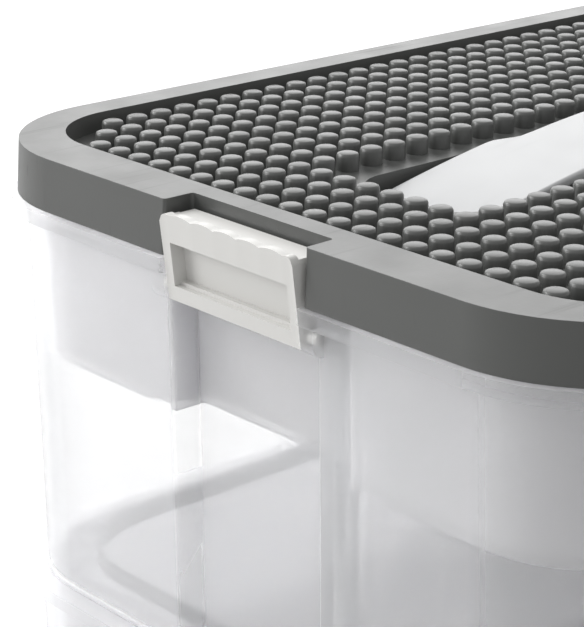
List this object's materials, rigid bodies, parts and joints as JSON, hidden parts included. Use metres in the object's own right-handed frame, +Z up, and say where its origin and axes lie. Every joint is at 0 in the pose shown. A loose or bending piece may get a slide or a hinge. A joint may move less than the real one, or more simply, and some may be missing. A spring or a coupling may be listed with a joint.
{
  "type": "sewing box",
  "caption": "Stacking clear storage box with lift-out trays, end latches and a grey studded lid with a pull-up strap handle.",
  "frame": {"origin": "centre of the footprint, on the surface the box stands on", "axes": "+X along the length, through the two latched ends; +Y across; +Z up"},
  "size_m": [0.2986, 0.206, 0.2118],
  "materials": {
    "clear_plastic": "clear polypropylene, slightly milky, smooth",
    "milky_plastic": "milky translucent polypropylene",
    "grey_plastic": "satin dark grey polypropylene",
    "white_plastic": "smooth white polypropylene",
    "latch_plastic": "warm white polypropylene"
  },
  "bodies": {
    "lower_container": {"lower_container": "clear_plastic"},
    "lower_tray": {"lower_tray": "milky_plastic"},
    "upper_container": {"upper_container": "clear_plastic"},
    "upper_tray": {"upper_tray": "milky_plastic"},
    "latch_left": {"latch_left": "latch_plastic"},
    "latch_right": {"latch_right": "latch_plastic"},
    "lid": {"lid": "grey_plastic"},
    "handle": {"handle": "white_plastic"}
  },
  "joints": [
    {"name": "upper_container_lift", "type": "slide", "parent": "lower_container", "child": "upper_container", "axis": [0, 0, 1], "range_m": [0, 0.03]},
    {"name": "lower_tray_lift", "type": "slide", "parent": "lower_container", "child": "lower_tray", "axis": [0, 0, 1], "range_m": [0, 0.015]},
    {"name": "lid_lift", "type": "slide", "parent": "upper_container", "child": "lid", "axis": [0, 0, 1], "range_m": [0, 0.03]},
    {"name": "upper_tray_lift", "type": "slide", "parent": "upper_container", "child": "upper_tray", "axis": [0, 0, 1], "range_m": [0, 0.015]},
    {"name": "latch_left_hinge", "type": "hinge", "parent": "upper_container", "child": "latch_left", "pos_m": [-0.14455, 0, 0.1902], "axis": [0, -1, 0], "range_deg": [0, 150]},
    {"name": "latch_right_hinge", "type": "hinge", "parent": "upper_container", "child": "latch_right", "pos_m": [0.14455, 0, 0.1902], "axis": [0, 1, 0], "range_deg": [0, 150]},
    {"name": "handle_pull", "type": "slide", "parent": "lid", "child": "handle", "axis": [0, 0, 1], "range_m": [0, 0.01]}
  ],
  "couplings": [
    {"joint": "lower_tray_lift", "follows": "upper_container_lift", "ratio": 0.5},
    {"joint": "upper_tray_lift", "follows": "lid_lift", "ratio": 0.5},
    {"joint": "latch_left_hinge", "follows": "lid_lift", "rad_per_m": 87.265},
    {"joint": "latch_right_hinge", "follows": "lid_lift", "rad_per_m": 87.265}
  ]
}
